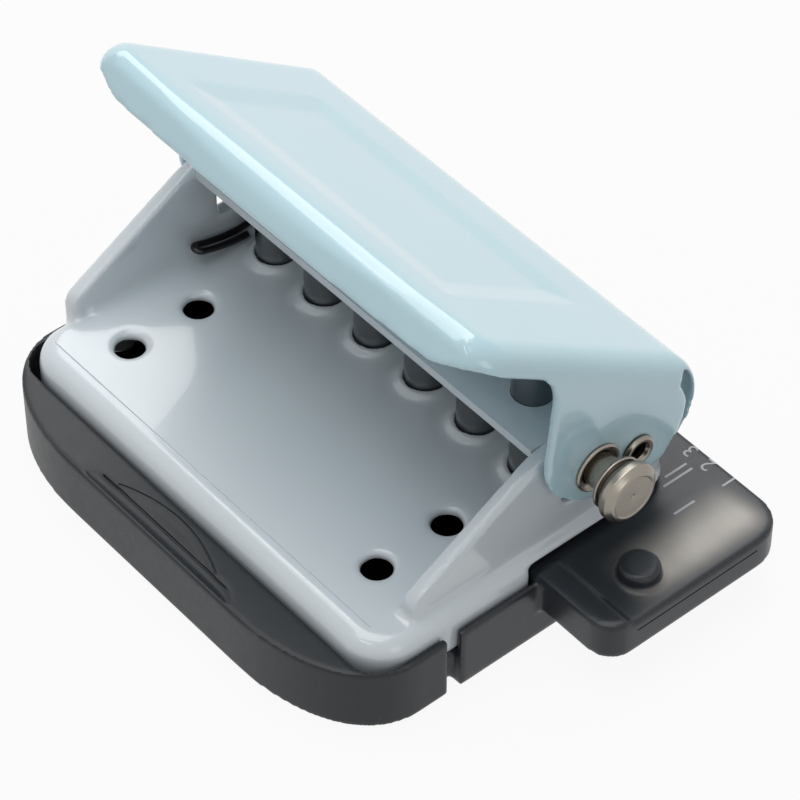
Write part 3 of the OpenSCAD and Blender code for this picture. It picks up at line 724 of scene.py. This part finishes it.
class Finishes:
    """Every finish of the punch, each made once."""

    def __init__(self) -> None:
        """Builds the materials."""
        nickel = {"colour": (148, 142, 133), "deep": (114, 110, 102), "way": Turning.ALONG_X}
        self.blue = Enamel("blue_enamel", (191, 222, 231), (184, 216, 226), 0.16, 0.6).material()
        self.white = Enamel("white_enamel", (219, 226, 230), (213, 220, 225), 0.2, 0.5).material()
        # The base's plastic carries painted light: a paler patch where light comes through the guide's thin
        # wall.
        self.base = Smoke("smoke_base", (41, 45, 50), (36, 40, 44), 0.32, (186, 180, 172),
                          low=(36.8, -4.0, 9.2), high=(47.6, 18.6, 10.1)).material()
        self.tray = Smoke("smoke_tray", (30, 34, 38), (26, 30, 34), 0.42).material()
        self.knob = Metal("knob_nickel", **nickel, roughness=0.3, centre=tuple(ROD),
                          rings=3800.0).material()
        self.rivet = Metal("rivet_nickel", **nickel, roughness=0.26, centre=tuple(PIVOT)).material()
        self.rod = Metal("rod_steel", (150, 150, 148), (130, 130, 128), 0.25,
                         Turning.ALONG_X, tuple(ROD)).material()
        self.pin = Metal("pin_steel", (120, 123, 126), (92, 95, 98), 0.17, Turning.ALONG_Z).material()
        self.die = Metal("die_steel", (120, 122, 124), (100, 102, 104), 0.4, Turning.ALONG_Z).material()
        self.screw = Metal("screw_steel", (150, 150, 150), (126, 126, 126), 0.34,
                           Turning.ALONG_Z).material()
        self.spring = Metal("spring_steel", (64, 64, 66), (48, 48, 50), 0.34,
                            Turning.ALONG_X, tuple(PIVOT)).material()
        self.ink = Ink("guide_ink", (178, 180, 184), (150, 152, 156), 0.5).material()


# Sub-assemblies


# Slacks in millimetres that are tried in turn for a trimming shape
SLACKS = (0.05, 0.03, 0.08, 0.12, 0.2)


@dataclass
class Skin:
    """A shell that stands for a CAD node: its outline kept, its edges softened as by paint or moulding.

    Attributes:
        voxel: cell size of the remesh, in millimetres.
        passes: smoothing passes after it.
    """

    node: str
    piece: str
    body: str
    slot: str
    voxel: float
    passes: int

    def copied(self) -> Object:
        """Copies the CAD node's mesh as a closed piece of its own."""
        obj = linked(self.piece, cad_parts[self.node].data.copy())
        merge(obj, CAD_MERGE, outward=False)
        return obj

    def trimmed(self, make_keep: Callable[[float], Object]) -> Object:
        """Keeps what of the node lies inside another shape.

        Args:
            make_keep: makes that shape, larger than the node by a slack in millimetres.

        Returns:
            The first result that is closed, or the plain copy.
        """
        for slack in SLACKS:
            obj, keep = self.copied(), make_keep(slack)
            combined(obj, "INTERSECT", keep)
            if is_closed(obj):
                return obj
            bpy.data.objects.remove(obj)
        LOG.warning("%s: its corners stay as they are", self.piece)
        return self.copied()

    def softened(self, obj: Object, place: Matrix | None = None) -> None:
        """Rounds every edge by an even remesh and a few smoothing passes.

        Args:
            obj: the piece.
            place: the pose that the piece is turned out of while it is remeshed.
        """
        if place is not None:
            baked_place(obj, place.inverted())
        applied(obj, "REMESH", mode="VOXEL", voxel_size=self.voxel * MM, use_smooth_shade=True)
        applied(obj, "SMOOTH", factor=0.5, iterations=self.passes)
        if place is not None:
            baked_place(obj, place)
        solo(obj)
        bpy.ops.object.shade_smooth()

    def handed_over(self, obj: Object, material: Material) -> None:
        """Dresses the piece, hides the node that it stands for and puts it on its body."""
        dressed(obj, self.piece, material)
        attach(obj, self.body)
        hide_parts(self.node)


@dataclass
class LeverShell(Skin):
    """The pressed sheet lever with its round corners and folded back, in millimetres, closed."""

    half_w: float = 35.2
    front: float = 37.0
    back: float = 8.8
    top: float = 11.7
    low: float = -9.0
    corner: float = 6.5
    rim: float = 3.2
    bow: float = 400.0

    def build(self, finishes: Finishes) -> None:
        """Rounds the lever's corners like a pressing, and paints it."""
        obj = self.trimmed(self._pressing)
        self.softened(obj, LEVER_OPEN)
        self.handed_over(obj, finishes.blue)

    def _pressing(self, slack: float) -> Object:
        """The lever's outer form as one rounded pressing."""
        keep = RoundedBlock((-self.half_w - slack, -self.front - slack, self.low),
                            (self.half_w + slack, self.back + slack, self.top + slack),
                            self.corner, self.rim, self.back, self.bow).build()
        baked_place(keep, LEVER_OPEN)
        return keep


@dataclass
class FrameShell(Skin):
    """The enamelled frame: deck, rounded rim and two cheeks; measures in millimetres."""

    left: float = -32.3
    right: float = 35.1
    front: float = -33.5
    back: float = 14.5
    low: float = 5.4
    deck: float = 12.0
    corner: float = 6.0
    rim: float = 2.7
    cheek_x: float = 33.3
    cheek_front: float = -26.3
    cheek_back: float = 13.0
    cheek_top: float = 30.0
    cheek_sunk: float = 0.1
    foot_x: float = -31.9
    foot_low: float = 5.0
    over_deck: float = 13.0
    groove_x: float = 30.6
    groove_y: float = -30.2
    groove_half_w: float = 0.11
    groove_depth: float = 0.16

    def build(self, finishes: Finishes) -> None:
        """Rounds the frame's corners, cuts its fine groove and paints it."""
        obj = self.trimmed(self._form)
        self.softened(obj)
        front, back = self.groove_y - self.groove_half_w, self.groove_y + self.groove_half_w
        combined(obj, "DIFFERENCE", block((-self.groove_x, front, self.deck - self.groove_depth),
                                          (self.groove_x, back, self.over_deck)))
        smooth(obj, SHELL_CREASE)
        self.handed_over(obj, finishes.white)

    def _form(self, slack: float) -> Object:
        """The rounded body of the frame with room for the cheeks and for the left cheek's foot."""
        keep = RoundedBlock((self.left - slack, self.front - slack, self.low),
                            (self.right + slack, self.back + slack, self.deck + slack),
                            self.corner, self.rim).build()
        cheeks = block((-self.cheek_x, self.cheek_front, self.deck - self.cheek_sunk),
                       (self.cheek_x, self.cheek_back, self.cheek_top))
        foot = block((-self.cheek_x, self.cheek_front, self.foot_low),
                     (self.foot_x, self.cheek_back, self.over_deck))
        for extra in (cheeks, foot):
            combined(keep, "UNION", extra)
        return keep


@dataclass
class Moulding(Skin):
    """A moulded plastic piece with soft edges."""

    marks: Callable[[], list[Object]] = list

    def build(self, material: Material) -> None:
        """Softens the edges, cuts the fine moulding lines and dresses the piece."""
        obj = self.copied()
        self.softened(obj)
        for mark in self.marks():
            combined(obj, "DIFFERENCE", mark)
        smooth(obj, SHELL_CREASE)
        self.handed_over(obj, material)


def guide_line() -> list[Object]:
    """The fine line along the guide's end face, as a block in millimetres."""
    across, length, height = (47.75, 48.4), (-5.0, 14.0), (8.0, 8.22)
    return [block(*zip(across, length, height))]


@dataclass
class GripLines:
    """The crisp lines round the tray's finger grip and round the dish behind it, in millimetres."""

    middle: float = 1.7
    front: float = -38.85
    back: float = -37.4
    half_w: float = 14.3
    flat_half_w: float = 12.2
    band_z: float = 9.02
    band_r: float = 0.2
    dish_half_w: float = 9.3
    dish_sag: float = 2.1
    dish_gap: float = 0.35
    dish_z: float = 9.24
    dish_r: float = 0.15
    turn_steps: int = 8
    dish_steps: int = 16

    def cutters(self) -> list[Object]:
        """Wires along the band's rear line and the dish's arc."""
        return [wire("grip_line", self._band(), self.band_r),
                wire("dish_line", self._dish(), self.dish_r)]

    def _band(self) -> list[Vector]:
        """The band's rear line with its two curved ends."""
        turn = self.half_w - self.flat_half_w
        end = []
        for i in range(self.turn_steps + 1):
            a = math.radians(90 * i / self.turn_steps)
            y = self.front + (self.back - self.front) * math.sin(a)
            end.append((self.flat_half_w + turn * math.cos(a), y))
        right = [Vector((self.middle + x, y, self.band_z)) for x, y in end]
        left = [Vector((self.middle - x, y, self.band_z)) for x, y in reversed(end)]
        return right + left

    def _dish(self) -> list[Vector]:
        """The dish's arc."""
        points = []
        for i in range(2 * self.dish_steps + 1):
            t = i / self.dish_steps - 1
            y = self.back + self.dish_gap + self.dish_sag * (1 - t * t)
            points.append(Vector((self.middle + self.dish_half_w * t, y, self.dish_z)))
        return points


@dataclass
class TurnedParts:
    """The knob, its washer, the eyelet and the rivets, spun from their sections.

    The sections are lists of (place along X, radius, corner radius) in millimetres.

    Attributes:
        ear_in, ear_out: the faces of the lever's ear.
        neck_end, head, face: where the knob's neck, waist and head end.
        axis_r: radius of the small hole that a closed piece keeps along its axis.
        rod_r: radius of the rod's bore in the knob.
        shank_r, shank_in: radius and inner end of the rivet's shank.
    """

    ear_in: float = 34.0
    ear_out: float = 35.2
    neck_end: float = 38.2
    head: float = 39.3
    face: float = 41.5
    axis_r: float = 0.02
    rod_r: float = 1.24
    shank_r: float = 1.8
    shank_in: float = 26.9
    knob_faces: int = 96
    eyelet_faces: int = 80
    rivet_faces: int = 64

    def build(self, finishes: Finishes) -> None:
        """Spins each piece."""
        self._spun("lock_knob", "lock_knob", finishes.knob, self._knob(), ROD, self.knob_faces)
        self._spun("knob_ring", "lock_knob", finishes.knob, self._washer(), ROD, self.knob_faces)
        self._spun("ear_eyelet", "lever", finishes.knob, self._eyelet(), ROD, self.eyelet_faces)
        for node, mirrored in (("pivot_pin_right", False), ("pivot_pin_left", True)):
            self._spun(node, "frame", finishes.rivet, self._rivet(), PIVOT, self.rivet_faces,
                       mirrored)

    def _spun(self, node: str, body: str, material: Material, section: list[Triple],
              centre: Vector, steps: int, mirrored: bool = False) -> None:
        """Spins a section, and dresses and places the piece."""
        obj = turned(rounded(section), centre, steps, mirrored)
        smooth(obj, TURNED_CREASE)
        dressed(obj, node + "_turned", material)
        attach(obj, body)
        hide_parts(node)

    def _knob(self) -> list[Triple]:
        """The lock knob: neck, waist, and a head with a stepped face and a centre dent."""
        head, face, neck, bore, shut = self.head, self.face, self.neck_end, self.rod_r, self.axis_r
        root = self.ear_in + 0.1
        return [(root, bore, 0), (root, 2.2, 0.2), (neck, 2.2, 0), (neck, 1.8, 0), (neck + 0.5, 1.8, 0),
                (neck + 0.5, 2.75, 0.12), (head - 0.1, 2.75, 0.1), (head, 3.55, 0.2),
                (head + 0.55, 3.95, 0.3), (face - 0.75, 3.95, 0.35), (face - 0.12, 3.3, 0.3),
                (face, 2.95, 0.12), (face - 0.14, 2.75, 0.06), (face - 0.14, 0.35, 0.2),
                (face - 0.32, shut, 0), (neck + 0.58, shut, 0), (neck + 0.58, bore, 0)]

    def _washer(self) -> list[Triple]:
        """The washer in the knob's waist."""
        near, far = self.neck_end + 0.02, self.neck_end + 0.48
        return [(near, 1.82, 0), (near, 3.5, 0.2), (far, 3.5, 0.2), (far, 1.82, 0)]

    def _eyelet(self) -> list[Triple]:
        """The eyelet in the ear: a curled rim round a bowl."""
        root, out = self.ear_in + 0.1, self.ear_out
        return [(root, 2.26, 0), (root, 2.48, 0), (out + 0.02, 2.48, 0), (out + 0.02, 3.2, 0.1),
                (out + 0.3, 3.3, 0.12), (out + 0.6, 3.12, 0.16), (out + 0.42, 2.75, 0.3),
                (out + 0.1, 2.26, 0.2)]

    def _rivet(self) -> list[Triple]:
        """A tubular rivet with a rolled rim."""
        root, out, shut = self.shank_in, self.ear_out, self.axis_r
        return [(root, shut, 0), (root, self.shank_r, 0.15), (out + 0.06, self.shank_r, 0),
                (out + 0.06, 2.25, 0.12), (out + 0.4, 2.3, 0.2), (out + 0.72, 1.95, 0.22),
                (out + 0.62, 1.5, 0.16), (out + 0.2, 1.25, 0.2), (out - 3.2, 1.2, 0.2),
                (out - 3.3, shut, 0)]


def curved(start: Vector, pull: Vector, late_pull: Vector, end: Vector, t: float) -> Vector:
    """A point of a cubic curve with two pulls, at a share of it."""
    return (start * (1 - t) ** 3 + pull * 3 * t * (1 - t) ** 2 + late_pull * 3 * t * t * (1 - t)
            + end * t ** 3)


@dataclass
class ReturnSpring:
    """A return spring of round wire: hairpin leg, open coil and hook under the rod, in millimetres.

    Attributes:
        start: where the coil starts, in degrees round the pivot.
        hairpin: distance between the leg's two wires.
        leg_y, leg_run, leg_rise: the leg's root, its reach to the front and its rise.
        leg_pull: how far the leg runs on before it turns up into the coil.
        hook_run: how far the hook reaches behind its tip.
        leg_gap, hook_gap: clear space over the deck and under the rod.
        lean: slope of the line that the winding follows; the whole leg lies before its start. Not used.
        lift_off: how far above the coil's lowest point that line starts. Not used.
        coil_steps: points per turn of the coil.
    """

    wire: float = 0.9
    coil_r: float = 3.3
    pitch: float = 1.4
    start: float = -60.0
    turns: float = 1.7
    coil_x: float = 29.9
    hairpin: float = 1.4
    deck: float = 12.0
    leg_gap: float = 0.35
    leg_y: float = -0.8
    leg_run: float = 7.0
    leg_rise: float = 1.3
    leg_pull: float = 2.4
    hook_run: float = 2.9
    rod_r: float = 1.2
    hook_gap: float = 0.25
    lean: float = 0.5
    lift_off: float = 1.0
    leg_steps: int = 8
    bend_steps: int = 10
    coil_steps: int = 32
    hook_steps: int = 14

    def build(self, finishes: Finishes) -> None:
        """Makes the two springs."""
        for node, side in (("spring_right", 1), ("spring_left", -1)):
            self._spring(finishes, node, side)

    def _leg(self, x: float, share: float) -> Vector:
        """A point of the leg on the deck, at a share of its reach."""
        z = self.deck + self.wire / 2 + self.leg_gap
        return Vector((x, self.leg_y - share * self.leg_run, z + self.leg_rise * share * share))

    def _coil(self, angle: float) -> Vector:
        """A point of the coil, at an angle in degrees."""
        a = math.radians(angle)
        return Vector((self.coil_x - self.pitch * (angle - self.start) / 360,
                       PIVOT.y / MM + self.coil_r * math.cos(a),
                       PIVOT.z / MM + self.coil_r * math.sin(a)))

    def _hairpin(self) -> list[Vector]:
        """The leg: to the front, round its bend and back."""
        shares = [i / self.leg_steps for i in range(self.leg_steps + 1)]
        points = [self._leg(self.coil_x - self.hairpin, share) for share in shares]
        middle = self._leg(self.coil_x - self.hairpin / 2, 1)
        for k in range(1, self.bend_steps):
            a = math.radians(180 / self.bend_steps * k)
            arm = Vector((-math.cos(a), -math.sin(a), math.sin(a) / 3))
            points.append(middle + arm * self.hairpin / 2)
        return points + [self._leg(self.coil_x, share) for share in reversed(shares)]

    def _hook(self, root: Vector) -> list[Vector]:
        """The hook, from the coil's end to its tip under the rod."""
        tip = Vector((root.x, ROD.y / MM - self.rod_r - self.wire,
                      ROD.z / MM - self.rod_r - self.wire / 2 - self.hook_gap))
        behind = tip + Vector((0, self.hook_run, 0))
        down = root + Vector((0, 0, -self.hook_run / 3))
        shares = [k / self.hook_steps for k in range(self.hook_steps)]
        return [curved(root, down, behind, tip, share) for share in shares] + [tip]

    def path(self) -> list[Vector]:
        """Centre line of the right spring."""
        root, foot = self._coil(self.start), self._leg(self.coil_x, 0)
        turn = math.radians(self.start + 90)
        late_pull = root + Vector((0, -self.leg_pull * math.cos(turn), -self.leg_pull * math.sin(turn)))
        pull = foot + Vector((0, self.leg_pull, 0))
        shares = [k / self.leg_steps for k in range(1, self.leg_steps)]
        points = self._hairpin() + [curved(foot, pull, late_pull, root, share) for share in shares]
        end = self.start + 360 * self.turns
        count = int(self.turns * self.coil_steps)
        points += [self._coil(self.start + (end - self.start) * k / count) for k in range(count)]
        return points + self._hook(self._coil(end))

    def _wound_up(self, obj: Object) -> None:
        """Bakes the wire's place into its mesh."""
        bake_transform(obj)

    def _spring(self, finishes: Finishes, node: str, side: int) -> None:
        """One spring as a round wire along the path."""
        points = [Vector((side * p.x, p.y, p.z)) for p in self.path()]
        obj = wire(node + "_wire", points, self.wire / 2)
        smooth(obj, WIRE_CREASE)
        dressed(obj, node + "_wire", finishes.spring)
        self._wound_up(obj)
        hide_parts(node)


@dataclass
class GuidePrint:
    """The tick lines and plain numerals printed on the paper guide, in millimetres.

    Attributes:
        thick, sunk: how far the ink stands over the bed, and how far the ticks go into it.
        ticks: (x, front end, back end) of each tick.
        size, cap: height of the type, and the share of it that a numeral fills.
        numeral_y: the front side of the numerals.
    """

    bed: float = 9.6
    thick: float = 0.03
    sunk: float = 0.01
    line: float = 0.32
    ticks: tuple = ((38.5, 9.5, 12.8), (34.5, 11.5, 16.2), (33.5, 12.7, 16.2))
    size: float = 2.9
    cap: float = 0.7
    numeral_y: float = 16.9
    numerals: tuple = (("1", 38.9), ("2", 35.3), ("3", 32.3))

    def build(self, finishes: Finishes) -> None:
        """Prints the lines and the numerals."""
        ticks = [self._tick(*tick) for tick in self.ticks]
        self._finish(joined(ticks), "guide_ticks", finishes)
        numerals = [self._numeral(word, x) for word, x in self.numerals]
        self._finish(joined(numerals), "guide_numerals", finishes)

    def _tick(self, x: float, front: float, back: float) -> Object:
        """One tick line."""
        return block((x - self.line / 2, front, self.bed - self.sunk),
                     (x + self.line / 2, back, self.bed + self.thick))

    def _numeral(self, word: str, x: float) -> Object:
        """One numeral, read from the side where paper goes in."""
        y, z = self.numeral_y * MM + self.size * self.cap * MM, (self.bed + self.thick / 2) * MM
        bpy.ops.object.text_add(location=(x * MM, y, z), rotation=(0, 0, math.pi))
        obj = bpy.context.active_object
        obj.data.body = word
        obj.data.size = self.size * MM
        obj.data.align_x = "CENTER"
        obj.data.extrude = self.thick / 2 * MM
        obj = as_mesh(obj)
        baked_place(obj)
        return obj

    def _finish(self, obj: Object, name: str, finishes: Finishes) -> None:
        """Inks and places a print."""
        dressed(obj, name, finishes.ink)
        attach(obj, "frame")


def dress_nodes(finishes: Finishes) -> None:
    """Gives the CAD nodes that stay their finishes."""
    dress = {"guide_bridge": finishes.white, "die_plate": finishes.die, "die_screws": finishes.screw,
             "base_screws": finishes.screw, "drive_rod": finishes.rod, "rod_clip": finishes.spring}
    dress.update({f"punch_pin_{i}": finishes.pin for i in range(1, PIN_COUNT + 1)})
    for node, material in dress.items():
        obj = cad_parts[node]
        obj.data.materials.clear()
        obj.data.materials.append(material)
        LOG.info("%s: CAD node", node)


# Studio


# Lamps: name, place and aim in metres, width and height in metres, power in watts
LAMPS = (
    ("key_softbox", (-0.45, 0.38, 0.62), (0, -0.01, 0.02), (0.5, 0.5), 2.2),
    ("overhead_softbox", (-0.1, -0.05, 0.75), (0, -0.01, 0.02), (0.6, 0.6), 2.7),
    ("front_strip", (0.05, -0.42, 0.6), (0, -0.02, 0.015), (0.3, 0.04), 0.2),
    ("right_card", (0.6, -0.1, 0.25), (0.02, 0, 0.02), (0.25, 0.3), 0.3),
)
WHITE = (1.0, 1.0, 1.0, 1.0)


def seen_directly(graph: Graph) -> Socket:
    """Adds a share that is 1 for rays from the camera, from gloss and through glass, and 0 for others."""
    rays = graph.add("ShaderNodeLightPath").outputs
    glossy = graph.math("MAXIMUM", rays["Is Glossy Ray"], rays["Is Transmission Ray"])
    return graph.math("MAXIMUM", rays["Is Camera Ray"], glossy)


@dataclass
class Studio:
    """Pale floor, soft light and the photograph's view.

    Attributes:
        lens, sensor: focal length and sensor width in millimetres.
        right, up, back: the camera's three directions.
        floor_size, floor_drop: width of the floor, and its depth under the table plane, in metres.
        floor_glow: how far the floor shows as plain white where it is seen.
    """

    lens: float = 166.0
    sensor: float = 36.0
    near: float = 0.01
    camera_place: Triple = (0.240458, -0.202997, 0.328637)
    right: Triple = (0.64521, 0.76401, 0.0)
    up: Triple = (-0.54757, 0.46288, 0.69707)
    back: Triple = (0.53279, -0.44948, 0.71700)
    sky: Colour = (0.95, 0.975, 1.0, 1.0)
    sky_power: float = 0.3
    floor_size: float = 6.0
    floor_drop: float = 0.00002
    floor_glow: float = 0.92

    def build(self) -> None:
        """Sets up the view, the floor and the light."""
        scene = bpy.context.scene
        scene.view_settings.view_transform = "Standard"
        self._camera(scene)
        self._world(scene)
        self._floor()
        for name, place, aim, size, power in LAMPS:
            self._lamp(name, place, aim, size, power)

    def _camera(self, scene: bpy.types.Scene) -> None:
        """The camera, at the photograph's place and angle."""
        data = bpy.data.cameras.new("view")
        data.lens = self.lens
        data.sensor_width = self.sensor
        data.clip_start = self.near
        camera = linked("view", data)
        turn = Matrix((self.right, self.up, self.back)).transposed().to_4x4()
        camera.matrix_world = Matrix.Translation(self.camera_place) @ turn
        scene.camera = camera

    def _world(self, scene: bpy.types.Scene) -> None:
        """Soft grey light all round; white where the camera, gloss or glass sees it."""
        world = bpy.data.worlds.new("studio")
        scene.world = world
        world.use_nodes = True
        graph = Graph(world.node_tree)
        seen = seen_directly(graph)
        light = graph.add("ShaderNodeBackground", {"Color": self.sky, "Strength": self.sky_power})
        white = graph.add("ShaderNodeBackground", {"Color": WHITE, "Strength": 1.0})
        mix = graph.add("ShaderNodeMixShader", {0: seen, 1: light.outputs[0], 2: white.outputs[0]})
        graph.add("ShaderNodeOutputWorld", {"Surface": mix.outputs[0]})

    def _floor(self) -> None:
        """A wide pale floor that keeps a soft shadow."""
        bpy.ops.mesh.primitive_plane_add(size=self.floor_size, location=(0, 0, -self.floor_drop))
        floor = bpy.context.active_object
        floor.name = "studio_floor"
        made, graph, place = new_material("floor_paper")
        share = graph.math("MULTIPLY", seen_directly(graph), self.floor_glow)
        normal = relief_of(graph, place, wave=40.0, wave_depth=0.0, grain=1500.0, grain_depth=2e-6)
        paper = graph.add("ShaderNodeBsdfPrincipled", {
            "Base Color": (0.7, 0.7, 0.7, 1.0), "Roughness": 0.9, "Specular IOR Level": 0.0,
            "Normal": normal})
        white = graph.add("ShaderNodeEmission", {"Color": WHITE, "Strength": 1.0})
        mix = graph.add("ShaderNodeMixShader", {0: share, 1: paper.outputs[0], 2: white.outputs[0]})
        graph.add("ShaderNodeOutputMaterial", {"Surface": mix.outputs[0]})
        floor.data.materials.append(made)

    def _lamp(self, name: str, place: Triple, aim: Triple, size: tuple[float, float],
              power: float) -> None:
        """One softbox at a place, facing a point, with its size in metres and its power in watts."""
        data = bpy.data.lights.new(name, "AREA")
        data.shape = "RECTANGLE"
        data.size, data.size_y = size
        data.energy = power
        lamp = linked(name, data)
        lamp.location = place
        lamp.rotation_euler = (Vector(place) - Vector(aim)).to_track_quat("Z", "Y").to_euler()


def main() -> None:
    """Builds the pieces in order."""
    logging.basicConfig(level=logging.INFO, format="%(name)s: %(message)s")
    finishes = Finishes()
    dress_nodes(finishes)
    LeverShell("lever", "lever_shell", "lever", "blue_paint", 0.32, 14).build(finishes)
    FrameShell("frame_body", "frame_shell", "frame", "white_paint", 0.37, 12).build(finishes)
    Moulding("base_shell", "base_moulding", "frame", "smoke_plastic", 0.36, 5,
             guide_line).build(finishes.base)
    Moulding("chip_tray", "tray_moulding", "chip_tray", "smoke_tray", 0.34, 4,
             GripLines().cutters).build(finishes.tray)
    TurnedParts().build(finishes)
    ReturnSpring().build(finishes)
    GuidePrint().build(finishes)
    Studio().build()


if __name__ == "__main__":
    main()
